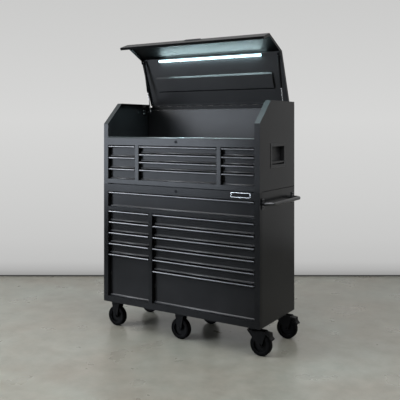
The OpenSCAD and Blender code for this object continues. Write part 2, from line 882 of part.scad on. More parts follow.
// Children drawn in X and Z, as the two legs of a fork
module fork_legs() {
    for (s = [0, 1]) mirror([0, s, 0])
        translate([0, fork_in + leg_t, 0]) rotate([90, 0, 0]) linear_extrude(leg_t) children();
}

// An axle bolt with a head at each end
module axle_bolt(x) {
    translate([x, 0, wheel_r]) rotate([90, 0, 0]) {
        cylinder(r = axle_r, h = 2 * (fork_in + leg_t + fit), center = true);
        for (s = [-1, 1]) translate([0, 0, s * (fork_in + leg_t + fit + axle_head_t / 2)])
            cylinder(r = axle_head_r, h = axle_head_t, center = true);
    }
}

// A rigid caster: plate and two tapered legs in one, and its axle bolt
module rigid_caster() {
    difference() {
        union() {
            caster_plate();
            fork_legs() {
                polygon([
                    [-leg_top, plate_z],
                    [leg_top, plate_z],
                    [leg_foot_r, wheel_r],
                    [-leg_foot_r, wheel_r]
                ]);
                translate([0, wheel_r]) circle(r = leg_foot_r);
            }
        }
        translate([0, 0, wheel_r]) rotate([90, 0, 0])
            cylinder(r = axle_r + fit, h = plate_w, center = true);
    }
    axle_bolt(0);
}

// A swivel caster's fixed plate with its king pin and nut
module swivel_plate() {
    caster_plate();
    translate([0, 0, crown_z - king_nut_t]) cylinder(r = king_r, h = plate_z - crown_z + king_nut_t + cut);
    translate([0, 0, crown_z - king_nut_t - fit]) cylinder(r = king_nut_r, h = king_nut_t);
}

// All that is bolted under the cabinet: four rigid casters and the swivel casters' plates
module caster_mounts() {
    color(paint_dark) for (y = [-caster_y, caster_y]) {
        for (x = [-caster_x, 0]) translate([x, y, 0]) rigid_caster();
        translate([caster_x, y, 0]) swivel_plate();
    }
}

// A swivel fork: crown, two raked legs, the pedal's cross pin and the axle bolt
module swivel_fork(y) {
    color(paint_dark) translate([caster_x, y, 0]) {
        difference() {
            union() {
                translate([0, 0, crown_z]) cylinder(r = crown_r, h = crown_t);
                translate([0, 0, crown_z]) cylinder(r = race_r, h = plate_z - crown_z - slide_gap);
                fork_legs() {
                    polygon([
                        [-leg_top, crown_z],
                        [-leg_top, crown_z + crown_t],
                        [pedal_x, crown_z + crown_t],
                        [pedal_x + 2 * pedal_barrel_r, pedal_z],
                        [trail + leg_foot_r, wheel_r],
                        [trail - leg_foot_r, wheel_r]
                    ]);
                    translate([trail, wheel_r]) circle(r = leg_foot_r);
                }
                translate([pedal_x, 0, pedal_z]) rotate([90, 0, 0])
                    cylinder(r = pedal_pin_r, h = 2 * fork_in + leg_t, center = true);
            }
            translate([0, 0, crown_z - cut]) cylinder(r = king_r + run_fit, h = plate_z);
            translate([trail, 0, wheel_r]) rotate([90, 0, 0])
                cylinder(r = axle_r + fit, h = plate_w, center = true);
        }
        axle_bolt(trail);
    }
}

module front_swivel_fork() {
    swivel_fork(-caster_y);
}

module rear_swivel_fork() {
    swivel_fork(caster_y);
}

// A foot pedal over the wheel: a barrel on the fork's pin and a block with a toe
module brake_pedal(y) {
    color(paint_dark) translate([caster_x + pedal_x, y, pedal_z]) rotate([90, 0, 0])
        translate([0, 0, -pedal_w / 2]) linear_extrude(pedal_w) difference() {
            union() {
                circle(r = pedal_barrel_r);
                polygon([
                    [0, pedal_barrel_r],
                    [pedal_l, pedal_barrel_r - pedal_fall],
                    [pedal_l + pedal_t / 2, -pedal_front_h],
                    [pedal_reach, pedal_t - pedal_toe_h],
                    [pedal_reach, -pedal_toe_h],
                    [pedal_l, -pedal_front_h - pedal_t],
                    [pedal_l - pedal_t, pedal_t - pedal_front_h],
                    [0, -pedal_barrel_r]
                ]);
            }
            circle(r = pedal_pin_r + run_fit);
        }
}

module front_brake_pedal() {
    brake_pedal(-caster_y);
}

module rear_brake_pedal() {
    brake_pedal(caster_y);
}

// A wheel on its axle: a rubber tyre with rounded shoulders on a dished hub
module wheel(x, y) {
    translate([x, y, wheel_r]) rotate([90, 0, 0]) {
        color(rubber) rotate_extrude() {
            translate([tyre_in, -tyre_w / 2]) square([tyre_t - shoulder_r, tyre_w]);
            translate([tyre_in, shoulder_r - tyre_w / 2]) square([tyre_t, tyre_w - 2 * shoulder_r]);
            for (s = [-1, 1]) translate([wheel_r - shoulder_r, s * (tyre_w / 2 - shoulder_r)])
                circle(r = shoulder_r);
        }
        color(paint_dark) rotate_extrude() {
            translate([axle_r + run_fit, -tyre_w / 2]) square([hub_boss_r - axle_r - run_fit, tyre_w]);
            translate([hub_boss_r - cut, -hub_web_w / 2])
                square([tyre_in - hub_boss_r - hub_rim_t + 2 * cut, hub_web_w]);
            translate([tyre_in - hub_rim_t, -hub_w / 2]) square([hub_rim_t - fit, hub_w]);
        }
    }
}

module wheel_front_left() {
    wheel(-caster_x, -caster_y);
}

module wheel_front_middle() {
    wheel(0, -caster_y);
}

module wheel_front_right() {
    wheel(caster_x + trail, -caster_y);
}

module wheel_rear_left() {
    wheel(-caster_x, caster_y);
}

module wheel_rear_middle() {
    wheel(0, caster_y);
}

module wheel_rear_right() {
    wheel(caster_x + trail, caster_y);
}

// Drawers

// Height of a slide's axis in a drawer's slot
function slide_z(slot) = (slot[0] + slot[1]) / 2;

// Fixed channels of every drawer's two slides, open towards the drawer
module slide_rails() {
    color(steel) for (d = DRAWERS) for (s = [0, 1]) {
        translate([(d[1][0] + d[1][1]) / 2, slide_y, slide_z(d[2])]) mirror([s, 0, 0])
            translate([(d[1][1] - d[1][0]) / 2 - slide_web_w, 0, -slide_h / 2]) difference() {
                cube([slide_web_w, slide_l, slide_h]);
                translate([-cut, -cut, slide_t])
                    cube([slide_web_w - slide_t + cut, slide_l + 2 * cut, slide_h - 2 * slide_t]);
            }
    }
}

// Profile of a pull: a round nose and a thin web to the face
module pull_profile() {
    nose_r = pull_h / 2;
    translate([nose_r, -nose_r]) circle(r = nose_r);
    translate([nose_r, -pull_web_t]) square([face_recess - fit - nose_r, pull_web_t]);
}

// Profile of a face: a flat sheet that kicks out at its foot
module face_profile(height) {
    polygon([
        [face_recess, face_lip + sheet],
        [face_recess - face_lip, sheet],
        [face_recess - face_lip, 0],
        [face_recess + sheet, 0],
        [face_recess + sheet, height],
        [face_recess, height]
    ]);
}

// An open tray of five welded sheets: floor, sides, front and back
module tray(w, d, h) {
    wall_z = tray_t + fit;
    cube([w, d, tray_t]);
    for (x = [0, w - tray_t]) translate([x, 0, wall_z]) cube([tray_t, d, h - wall_z]);
    for (y = [0, d - tray_t]) translate([tray_t + fit, y, wall_z])
        cube([w - 2 * (tray_t + fit), tray_t, h - wall_z]);
}

// A drawer: face, pull, open tray and the runners on its sides
module drawer(col, slot) {
    front_w = col[1] - col[0] - 2 * front_side_gap;
    front_z = slot[0] + front_foot_gap;
    front_h = slot[1] - front_gap - front_z;
    tray_w = col[1] - col[0] - 2 * slide_w;
    tray_h = front_h - tray_rim_drop - tray_foot;
    runner_h = slide_h - 2 * slide_t - 2 * slide_gap;
    translate([(col[0] + col[1]) / 2, 0, front_z]) {
        color(paint) translate([0, front_y, 0]) run_x(front_w) face_profile(front_h);
        color("#5b5e62") translate([0, front_y, front_h]) run_x(front_w) pull_profile();
        color(paint_dark) translate([-tray_w / 2, tray_y, tray_foot]) tray(tray_w, tray_d, tray_h);
        color(steel) both_sides()
            translate([tray_w / 2 + fit, slide_y + fit, slide_z(slot) - front_z - runner_h / 2])
                cube([runner_t, slide_l - 2 * fit, runner_h]);
    }
}

cabinet_front_frame();
cabinet_sides();
cabinet_top();
chest_front_frame();
chest_sides();
chest_tray();
floor_pans();
back_panels();
slide_walls();
slide_rails();
side_grips();
push_handle();
lock_barrels();
chest_lock_plug();
cabinet_lock_plug();
lid_shell();
lid_stiffener();
lid_pull_and_strike();
lamp_housing();
lamp_lens();
hinge_back_leaf();
hinge_lid_leaf();
strut_wall_brackets();
strut_lid_brackets();
strut_tubes();
strut_rods();
caster_mounts();
front_swivel_fork();
rear_swivel_fork();
wheel_front_left();
wheel_front_middle();
wheel_front_right();
wheel_rear_left();
wheel_rear_middle();
wheel_rear_right();
front_brake_pedal();
rear_brake_pedal();
for (d = DRAWERS) {
    drawer(d[1], d[2]);
}
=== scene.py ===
"""Looks of the rolling tool chest and cabinet: materials, small trim, studio and camera."""

import math

import bmesh
import bpy
from mathutils import Matrix, Vector


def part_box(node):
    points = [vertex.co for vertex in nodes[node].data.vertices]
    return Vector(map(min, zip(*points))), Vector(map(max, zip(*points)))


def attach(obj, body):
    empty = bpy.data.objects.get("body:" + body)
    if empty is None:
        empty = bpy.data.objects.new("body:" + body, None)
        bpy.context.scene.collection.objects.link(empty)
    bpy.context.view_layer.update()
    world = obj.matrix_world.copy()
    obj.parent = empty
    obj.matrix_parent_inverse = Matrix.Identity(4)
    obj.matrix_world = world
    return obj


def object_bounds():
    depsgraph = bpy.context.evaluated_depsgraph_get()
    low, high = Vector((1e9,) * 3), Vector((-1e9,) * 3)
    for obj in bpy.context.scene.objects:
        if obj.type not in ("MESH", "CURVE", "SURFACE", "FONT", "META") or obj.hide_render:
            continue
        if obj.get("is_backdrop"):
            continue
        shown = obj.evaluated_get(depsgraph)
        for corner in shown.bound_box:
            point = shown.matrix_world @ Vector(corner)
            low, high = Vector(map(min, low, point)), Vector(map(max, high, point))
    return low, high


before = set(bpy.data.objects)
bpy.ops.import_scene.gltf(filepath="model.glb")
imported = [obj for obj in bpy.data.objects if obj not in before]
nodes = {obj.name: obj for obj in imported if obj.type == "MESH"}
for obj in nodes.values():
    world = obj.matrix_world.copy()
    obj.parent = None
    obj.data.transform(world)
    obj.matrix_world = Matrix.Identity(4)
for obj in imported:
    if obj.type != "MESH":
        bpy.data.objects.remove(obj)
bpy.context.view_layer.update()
ROOT = "chest_and_cabinet"

# Sizes and places in metres, in the part's frame
FRONT_Y = -0.2795
SIDE_X = 0.6725
CHEST_Z = 1.100
FACE_RECESS = 0.030
FACE_T = 0.0016
PULL_H = 0.014
PULL_SLACK = 0.0005
TYRE_IN = 0.058
HAIR = 0.0001
SLOPE_ABOVE_LENS = 0.008
APRON_Z = 1.458
APRON_HALF = 0.631
HEM_R = 0.006
LIP_IN = 0.0235
LIP_H = 0.0105
LIP_END = 0.0005
BEAD_R = 0.0038
LID_OPEN = math.radians(70.5)
BADGE_CENTRE = (0.527, CHEST_Z - 0.0235)
BADGE_SIZE = (0.150, 0.034)
BADGE_CORNER = 0.008
STRUT_FOOT = (0.2335, 1.658)
STRUT_WALL_X = 0.6691
HANDLE_PLATE = (SIDE_X + 0.005, 0.240, 1.024)
HINGE_LEAF = (0.2807, 1.6935)
BACK_INSIDE = 0.2783
BACK_TOP = 1.698
BAND_HALF = 0.625
BAND_H = 0.022
BAND_T = 0.0012
BAND_EDGE_R = 0.0016
CASTER_XS = (-0.5925, 0.0, 0.5925)
CASTER_Y = 0.2095
CASTER_PLATE_Z = 0.190

# How far a face leans before it counts as turned that way, as a part of its normal
LEAN = 0.3

# Badge's steps from its outer edge to its middle: inset and height
BADGE_STEPS = ((0.0, 0.0), (0.0, 0.0014), (0.0006, 0.0018), (0.0026, 0.0018), (0.003, 0.001))

# Heads of the fasteners, radius and height, and how far they sit from their plate's middle
HANDLE_SCREW = (0.006, 0.0035)
HANDLE_SCREW_DZ = 0.026
STRUT_SCREW = (0.0048, 0.0028)
STRUT_SCREW_DY = 0.0125
STRUT_SCREW_DZ = 0.0135
CASTER_BOLT = (0.0062, 0.0048)
CASTER_BOLT_DX = 0.047
CASTER_BOLT_DY = 0.041
RIVET = (0.0036, 0.0016)

# Rows of the hinge's rivets: count, first place and pitch
OUTER_RIVETS = (13, -0.6, 0.1)
INNER_RIVETS = (39, -0.608, 0.032)
INNER_RIVET_DROP = 0.002

# The photograph's camera
CAMERA_AT = (2.585, -4.062, 1.544)
CAMERA_YAW = 32.18
CAMERA_LENS = 57.45
CAMERA_SHIFT_Y = -0.1855

# Studio
WALL_DEPTH = 6.55
WALL_HEIGHT = 6.0
WALL_HALF = 9
FLOOR_HALF = 14
# A dark strip along the wall's foot: its height and how far out it stands
FOOT_STRIP_H = 0.014
FOOT_STRIP_OUT = 0.004
LID_LAMP_LENGTH = 0.91
LID_LAMP_TINT = (0.7, 0.95, 1.0)

# Wall's greys, each at a height: painted light and shade, darkest at the foot as painted shade where the wall
# meets the floor
WALL_PAINTED_LIGHT = [
    (0, 0.3), (0.07, 0.44), (0.15, 0.53), (0.4, 0.58),
    (0.8, 0.62), (1.6, 0.675), (2.8, 0.6), (6, 0.58),
]
# Greys of the dark strip along the wall's foot
FOOT_STRIP_GREYS = [(0, 0.045), (6, 0.06)]


# Materials

def material(name):
    """A new material, its node tree and its Principled shader."""
    made = bpy.data.materials.new(name)
    made.use_nodes = True
    tree = made.node_tree
    return made, tree, tree.nodes["Principled BSDF"]


def noise(tree, scale, detail=4.0, stretch=(1, 1, 1), crisp=0.5):
    """Noise in the part's own metres, so that one scale fits every node."""
    coords = tree.nodes.new("ShaderNodeTexCoord")
    mapping = tree.nodes.new("ShaderNodeMapping")
    mapping.inputs["Scale"].default_value = stretch
    texture = tree.nodes.new("ShaderNodeTexNoise")
    texture.inputs["Scale"].default_value = scale
    texture.inputs["Detail"].default_value = detail
    texture.inputs["Roughness"].default_value = crisp
    tree.links.new(coords.outputs["Object"], mapping.inputs["Vector"])
    tree.links.new(mapping.outputs["Vector"], texture.inputs["Vector"])
    return texture.outputs["Fac"]


def ramp(tree, value, low, high, start=0.35, end=0.65):
    """A colour that runs from low to high with a value."""
    node = tree.nodes.new("ShaderNodeValToRGB")
    node.color_ramp.elements[0].position = start
    node.color_ramp.elements[0].color = (*low, 1)
    node.color_ramp.elements[1].position = end
    node.color_ramp.elements[1].color = (*high, 1)
    tree.links.new(value, node.inputs["Fac"])
    return node.outputs["Color"]


def span(tree, value, low, high):
    """A number that runs from low to high with a value."""
    node = tree.nodes.new("ShaderNodeMapRange")
    node.inputs["From Min"].default_value = 0.3
    node.inputs["From Max"].default_value = 0.7
    node.inputs["To Min"].default_value = low
    node.inputs["To Max"].default_value = high
    tree.links.new(value, node.inputs["Value"])
    return node.outputs["Result"]


def bump(tree, shader, value, strength, depth):
    """Relief on a shader, depth in metres."""
    node = tree.nodes.new("ShaderNodeBump")
    node.inputs["Strength"].default_value = strength
    node.inputs["Distance"].default_value = depth
    tree.links.new(value, node.inputs["Height"])
    tree.links.new(node.outputs["Normal"], shader.inputs["Normal"])


def powder_coat(name, low, high, rough, gloss=0.5, grain=620.0, relief=0.12, metal=0.0):
    """Powder-coated sheet: a fine pebbled skin with faint patches of colour and gloss."""
    made, tree, shader = material(name)
    tree.links.new(ramp(tree, noise(tree, 5.0), low, high), shader.inputs["Base Color"])
    tree.links.new(span(tree, noise(tree, 23.0), rough - 0.02, rough + 0.02), shader.inputs["Roughness"])
    bump(tree, shader, noise(tree, grain, 2.0), relief, 0.0002)
    shader.inputs["Specular IOR Level"].default_value = gloss
    shader.inputs["Metallic"].default_value = metal
    return made


def bright_metal(name, low, high, rough, stretch=(1, 1, 1)):
    """Plated or drawn steel with faint streaks."""
    made, tree, shader = material(name)
    tree.links.new(ramp(tree, noise(tree, 60.0, 3.0, stretch), low, high), shader.inputs["Base Color"])
    sheen = span(tree, noise(tree, 140.0, 3.0, stretch), rough - 0.06, rough + 0.08)
    tree.links.new(sheen, shader.inputs["Roughness"])
    bump(tree, shader, noise(tree, 300.0, 2.0, stretch), 0.1, 0.0001)
    shader.inputs["Metallic"].default_value = 1.0
    return made


def moulded(name, low, high, rough, grain, depth, gloss=0.25):
    """Rubber or moulded plastic with a fine texture."""
    made, tree, shader = material(name)
    tree.links.new(ramp(tree, noise(tree, 34.0), low, high), shader.inputs["Base Color"])
    tree.links.new(span(tree, noise(tree, 90.0), rough - 0.06, rough + 0.06), shader.inputs["Roughness"])
    bump(tree, shader, noise(tree, grain, 3.0), 0.3, depth)
    shader.inputs["Specular IOR Level"].default_value = gloss
    return made


def lamp_glow(name):
    """A lit frosted lens with a faint unevenness."""
    made, tree, shader = material(name)
    glow = ramp(tree, noise(tree, 3.0), (0.60, 0.90, 1.0), (0.66, 0.95, 1.0))
    tree.links.new(glow, shader.inputs["Base Color"])
    tree.links.new(glow, shader.inputs["Emission Color"])
    tree.links.new(span(tree, noise(tree, 200.0), 0.35, 0.5), shader.inputs["Roughness"])
    shader.inputs["Emission Strength"].default_value = 3.0
    return made


PAINT = powder_coat("black_powder_coat", (0.005, 0.0052, 0.0056), (0.007, 0.0073, 0.0078), 0.235, 0.14)
FACE = powder_coat("drawer_face_coat", (0.0066, 0.0068, 0.0072), (0.009, 0.0092, 0.0097), 0.25, 0.085)
# Painted shade: a darker copy of the black paint for the cabinet's front frame, whose foot rail lies in shade
FRAME_SHADE_COAT = powder_coat("frame_powder_coat", (0.0034, 0.0036, 0.0039), (0.005, 0.0052, 0.0056), 0.25, 0.1)
INNER = powder_coat("inner_powder_coat", (0.005, 0.0052, 0.0056), (0.0075, 0.0078, 0.0084), 0.4, 0.22)
LID_PANEL = powder_coat("lid_powder_coat", (0.0046, 0.0048, 0.0053), (0.0066, 0.0069, 0.0075), 0.42, 0.28)
BACK_PANEL = powder_coat("back_powder_coat", (0.0046, 0.0048, 0.0053), (0.0066, 0.0069, 0.0075), 0.42, 0.22)
BAND = powder_coat("hinge_band_coat", (0.002, 0.0021, 0.0023), (0.003, 0.0031, 0.0034), 0.42, 0.06)
# Painted shade: a darker, matter copy of the lid's paint for the slope that the lid lamp lights
LID_SLOPE_SHADE_COAT = powder_coat("lid_matt_coat", (0.0021, 0.0023, 0.0024), (0.0028, 0.0031, 0.0032), 0.5, 0.02)
# Painted highlight: a bright teal-tinted metal coat on the black hem, in the lid lamp's tint, besides the
# real highlight of its rounded edge
HEM_HIGHLIGHT_COAT = powder_coat("hem_coat", (0.1, 0.12, 0.124), (0.13, 0.15, 0.154), 0.38, 0.5, 620.0, 0.12, 1.0)
PULL = powder_coat("satin_pull", (0.056, 0.057, 0.06), (0.074, 0.075, 0.0785), 0.32, 0.5, 900.0, 0.04, 1.0)
ZINC = bright_metal("zinc_plate", (0.42, 0.43, 0.45), (0.56, 0.57, 0.59), 0.34)
ROD = bright_metal("drawn_rod", (0.6, 0.61, 0.63), (0.75, 0.76, 0.78), 0.18, (1, 1, 0.1))
LOCK = bright_metal("lock_metal", (0.004, 0.004, 0.0044), (0.007, 0.007, 0.0075), 0.34)
RUBBER = moulded("tyre_rubber", (0.0014, 0.0014, 0.0015), (0.0024, 0.0024, 0.0026), 0.5, 500.0, 0.0004, 0.03)
HUB = moulded("hub_plastic", (0.002, 0.002, 0.0022), (0.0034, 0.0034, 0.0037), 0.34, 800.0, 0.0002, 0.06)
CASTER = powder_coat("caster_coat", (0.002, 0.002, 0.0022), (0.0034, 0.0034, 0.0037), 0.36, 0.06)
PEDAL = moulded("pedal_plastic", (0.002, 0.002, 0.0022), (0.0034, 0.0034, 0.0037), 0.4, 700.0, 0.0003, 0.08)
# Painted highlight: a lighter copy of the black paint for the drawers' foot lips and rolled edges and the
# hinge strip's lower edge
EDGE_HIGHLIGHT_COAT = powder_coat("lip_coat", (0.022, 0.0225, 0.024), (0.029, 0.0295, 0.0312), 0.42, 0.6, 900.0, 0.04)
# Painted light: a teal-tinted metal coat for the chest sides' faces turned up and forward, where the lid
# lamp's light falls
FLANGE_LIGHT_COAT = powder_coat("flange_coat", (0.015, 0.0185, 0.02), (0.02, 0.0238, 0.0255), 0.3, 0.5, 620.0, 0.12, 1.0)
GRIP = moulded("grip_plastic", (0.010, 0.0104, 0.011), (0.016, 0.0165, 0.0175), 0.45, 700.0, 0.0003)
LENS = lamp_glow("lamp_glow")
BADGE_RIM = bright_metal("badge_rim_metal", (0.62, 0.63, 0.65), (0.76, 0.77, 0.79), 0.25)


def dress(name, *materials):
    """Gives a CAD node these materials in place of its own."""
    mesh = nodes[name].data
    mesh.materials.clear()
    for made in materials:
        mesh.materials.append(made)
    return mesh


def dress_by_place(name, choose, *materials):
    """Gives each face of a CAD node the material that choose picks from the face's centre and normal."""
    mesh = dress(name, *materials)
    for face in mesh.polygons:
        face.material_index = choose(face.center, face.normal)


for name in nodes:
    dress(name, PAINT)
for name in ("slide_walls", "floor_pans", "chest_tray"):
    dress(name, INNER)
for name in ("caster_mounts", "front_swivel_fork", "rear_swivel_fork"):
    dress(name, CASTER)
for name in ("strut_wall_brackets", "strut_lid_brackets"):
    dress(name, INNER)
for name in ("hinge_back_leaf", "hinge_lid_leaf"):
    dress(name, BAND)
for name in ("slide_rails", "lamp_housing"):
    dress(name, ZINC)
for name in ("lock_barrels", "chest_lock_plug", "cabinet_lock_plug"):
    dress(name, LOCK)
for name in ("side_grips", "lid_pull_and_strike"):
    dress(name, GRIP)
for name in ("front_brake_pedal", "rear_brake_pedal"):
    dress(name, PEDAL)
# The cabinet's front frame takes the darker copy of the black paint: painted shade
dress("cabinet_front_frame", FRAME_SHADE_COAT)
dress("push_handle", PULL)
dress("strut_tubes", HUB)
dress("strut_rods", ROD)
dress("lamp_lens", LENS)

lens_low, lens_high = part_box("lamp_lens")
# The lid's slope above the lamp takes the darker matt copy of the lid's paint: painted shade where the lamp's
# light falls
dress_by_place(
    "lid_shell",
    lambda p, n: 1 if p.z > lens_high.z + SLOPE_ABOVE_LENS and n.z < -LEAN else 0,
    LID_PANEL,
    LID_SLOPE_SHADE_COAT,
)
dress("lid_stiffener", LID_PANEL)
dress("back_panels", BACK_PANEL)
# Faces of the chest sides turned up and forward take the teal-tinted coat: painted lamp light
dress_by_place("chest_sides", lambda p, n: 1 if n.z > LEAN and n.y < -LEAN else 0, PAINT, FLANGE_LIGHT_COAT)

for name in [n for n in nodes if n.startswith("wheel_")]:
    low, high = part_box(name)
    middle = (low + high) / 2
    dress_by_place(
        name,
        lambda p, n: 1 if math.hypot(p.x - middle.x, p.z - middle.z) < TYRE_IN - HAIR else 0,
        RUBBER,
        HUB,
    )


def drawer_material(foot, top):
    """Picks a drawer face's material: pull, lip in the lighter coat that paints its highlight, face, tray or
    slide member.
    """
    face_y = FRONT_Y + FACE_RECESS

    def choose(p, n):
        # The lip at the face's foot takes the lighter coat: painted highlight
        if p.y < face_y - HAIR and p.z < foot + LIP_H:
            return 3
        if p.y < face_y - HAIR and p.z > top - PULL_H - PULL_SLACK:
            return 1
        if p.y < face_y + FACE_T:
            return 0
        return 2

    return choose


for name in [n for n in nodes if "_drawer" in n]:
    low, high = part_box(name)
    dress_by_place(name, drawer_material(low.z, high.z), FACE, PULL, INNER, EDGE_HIGHLIGHT_COAT)


# Small trim

def piece(name, bm, body, *materials):
    """Makes a piece from a bmesh and lets it ride on a body."""
    mesh = bpy.data.meshes.new(name)
    bmesh.ops.recalc_face_normals(bm, faces=bm.faces)
    bm.to_mesh(mesh)
    bm.free()
    for made in materials:
        mesh.materials.append(made)
    obj = bpy.data.objects.new(name, mesh)
    bpy.context.scene.collection.objects.link(obj)
    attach(obj, body)
    return obj


def lathe(bm, profile, place, sides=24):
    """Turns a profile of (radius, height) points about Z and puts it where a matrix says."""
    rings = []
    for radius, height in profile:
        rings.append([
            bm.verts.new(place @ Vector((
                radius * math.cos(2 * math.pi * i / sides),
                radius * math.sin(2 * math.pi * i / sides),
                height,
            )))
            for i in range(sides)
        ])
    for a, b in zip(rings, rings[1:]):
        for i in range(sides):
            bm.faces.new((a[i], a[(i + 1) % sides], b[(i + 1) % sides], b[i]))
    bm.faces.new(rings[0][::-1])
    bm.faces.new(rings[-1])


def facing(at, normal):
    """A matrix that puts Z along a normal at a point."""
    turn = Vector(normal).to_track_quat("Z", "Y").to_matrix().to_4x4()
    return Matrix.Translation(Vector(at)) @ turn


def screw(bm, at, normal, radius, height):
    """A pan head with a round driver recess."""
    lathe(bm, [
        (radius, 0.0),
        (radius, 0.45 * height),
        (0.86 * radius, 0.82 * height),
        (0.6 * radius, height),
        (0.42 * radius, height),
        (0.36 * radius, 0.45 * height),
    ], facing(at, normal))


def rounded_outline(width, height, radius, steps=6):
    """Corner points of a rounded rectangle, counter-clockwise."""
    points = []
    for cx, cz, start in ((1, 1, 0), (-1, 1, 90), (-1, -1, 180), (1, -1, 270)):
        for i in range(steps + 1):
            a = math.radians(start + 90 * i / steps)
            points.append((
                cx * (width / 2 - radius) + radius * math.cos(a),
                cz * (height / 2 - radius) + radius * math.sin(a),
            ))
    return points


def badge():
    """A blank plate with a bright raised rim on the cabinet's top panel."""
    bm = bmesh.new()
    x, z = BADGE_CENTRE
    width, height = BADGE_SIZE
    rings = []
    for inset, proud in BADGE_STEPS:
        outline = rounded_outline(width - 2 * inset, height - 2 * inset, BADGE_CORNER - inset)
        rings.append([bm.verts.new((x + px, FRONT_Y - proud, z + pz)) for px, pz in outline])
    for a, b in zip(rings, rings[1:]):
        for i in range(len(a)):
            bm.faces.new((a[i], a[(i + 1) % len(a)], b[(i + 1) % len(b)], b[i]))
    middle = bm.faces.new(rings[-1])
    middle.material_index = 1
    piece("badge_plate", bm, ROOT, BADGE_RIM, HUB)


badge()


def arc(y, z, radius, first, last):
    """Points (y, z) every 15 degrees round a centre, from straight up towards the front."""
    turns = [math.radians(a) for a in range(first, last + 1, 15)]
    return [(y - radius * math.sin(a), z + radius * math.cos(a)) for a in turns]


def moulding(name, body, left_x, right_x, section, made):
    """A rounded strip along X with a section of (y, z) points."""
    bm = bmesh.new()
    left, far = [[bm.verts.new((x, y, z)) for y, z in section] for x in (left_x, right_x)]
    for i in range(len(left) - 1):
        bm.faces.new((left[i], left[i + 1], far[i + 1], far[i]))
    bm.faces.new((left[0], far[0], far[-1], left[-1]))
    bm.faces.new(left)
    bm.faces.new(far[::-1])
    strip = piece(name, bm, body, made)
    for face in strip.data.polygons:
        face.use_smooth = len(face.vertices) == 4


def apron_hem():
    """The folded hem along the top edge of the panel under the lid, in a bright teal-tinted metal coat that
    paints its highlight.
    """
    section = arc(FRONT_Y + 0.8 * HEM_R, APRON_Z - 0.5 * HEM_R, HEM_R, -90, 135)
    moulding("apron_hem", ROOT, -APRON_HALF, APRON_HALF, section, HEM_HIGHLIGHT_COAT)


apron_hem()


def lip_bead(name):
    """The rolled edge along the lip at the foot of a drawer's face, in the lighter coat that paints its
    highlight.
    """
    low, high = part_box(name)
    section = arc(FRONT_Y + LIP_IN, low.z + BEAD_R, BEAD_R, -45, 180)
    moulding(name + "_lip", name, low.x + LIP_END, high.x - LIP_END, section, EDGE_HIGHLIGHT_COAT)


for name in [n for n in nodes if "_drawer" in n]:
    lip_bead(name)


def hex_bolt(bm, at, normal, radius, height):
    """A hexagon head with a chamfered top."""
    lathe(bm, [
        (radius, 0.0),
        (radius, 0.8 * height),
        (0.88 * radius, height),
    ], facing(at, normal), 6)


def handle_screws():
    """The black screws of the push handle's end plates."""
    bm = bmesh.new()
    x, y, z = HANDLE_PLATE
    for side in (-1, 1):
        for dz in (-HANDLE_SCREW_DZ, HANDLE_SCREW_DZ):
            screw(bm, (x, side * y, z + dz), (1, 0, 0), *HANDLE_SCREW)
    piece("handle_screws", bm, ROOT, PULL)


handle_screws()


def fixed_fasteners():
    """Screws of the strut brackets, bolts of the caster plates, rivets of the hinge."""
    bm = bmesh.new()
    foot_y, foot_z = STRUT_FOOT
    for side in (-1, 1):
        for dz in (-STRUT_SCREW_DZ, STRUT_SCREW_DZ):
            at = (side * STRUT_WALL_X, foot_y - STRUT_SCREW_DY, foot_z + dz)
            screw(bm, at, (-side, 0, 0), *STRUT_SCREW)
    for x in CASTER_XS:
        for y in (-CASTER_Y, CASTER_Y):
            for dx in (-CASTER_BOLT_DX, CASTER_BOLT_DX):
                for dy in (-CASTER_BOLT_DY, CASTER_BOLT_DY):
                    hex_bolt(bm, (x + dx, y + dy, CASTER_PLATE_Z), (0, 0, -1), *CASTER_BOLT)
    leaf_y, leaf_z = HINGE_LEAF
    count, first, pitch = OUTER_RIVETS
    for i in range(count):
        screw(bm, (first + pitch * i, leaf_y, leaf_z), (0, 1, 0), *RIVET)
    piece("fixed_fasteners", bm, ROOT, ZINC)


fixed_fasteners()


def hinge_band():
    """The dark strip under the hinge's rivets, inside the chest's back panel, with a rounded lower edge."""
    bm = bmesh.new()
    foot = BACK_TOP - BAND_H
    size = Matrix.Diagonal((2 * BAND_HALF, BAND_T, BAND_H, 1))
    bmesh.ops.create_cube(
        bm,
        size=1,
        matrix=Matrix.Translation((0, BACK_INSIDE - BAND_T / 2, foot + BAND_H / 2)) @ size,
    )
    strip = set(bm.faces)
    edge = facing((-BAND_HALF, BACK_INSIDE - BAND_EDGE_R, foot - BAND_EDGE_R), (1, 0, 0))
    lathe(bm, [(BAND_EDGE_R, 0.0), (BAND_EDGE_R, 2 * BAND_HALF)], edge, 12)
    # The strip's rounded lower edge takes the lighter coat, a painted highlight
    for face in bm.faces:
        face.material_index = 0 if face in strip else 1
    piece("hinge_band", bm, ROOT, BAND, EDGE_HIGHLIGHT_COAT)


hinge_band()


def hinge_rivets():
    """The dark heads of the hinge's rivets, on the strip inside the chest's back panel."""
    bm = bmesh.new()
    count, first, pitch = INNER_RIVETS
    for i in range(count):
        at = (first + pitch * i, BACK_INSIDE - BAND_T, HINGE_LEAF[1] - INNER_RIVET_DROP)
        screw(bm, at, (0, -1, 0), *RIVET)
    piece("hinge_rivets", bm, ROOT, LOCK)


hinge_rivets()


# Studio

def look(obj, target):
    """Turns a lamp towards a point."""
    obj.rotation_euler = (Vector(target) - obj.location).to_track_quat("-Z", "Y").to_euler()


def softbox(name, at, target, size, power, tint=(1, 1, 1), spread=180):
    """A large soft lamp."""
    data = bpy.data.lights.new(name, "AREA")
    data.shape = "RECTANGLE"
    data.size, data.size_y = size
    data.energy = power
    data.color = tint
    data.spread = math.radians(spread)
    obj = bpy.data.objects.new(name, data)
    obj.location = at
    look(obj, target)
    obj.visible_camera = False
    bpy.context.scene.collection.objects.link(obj)
    return obj


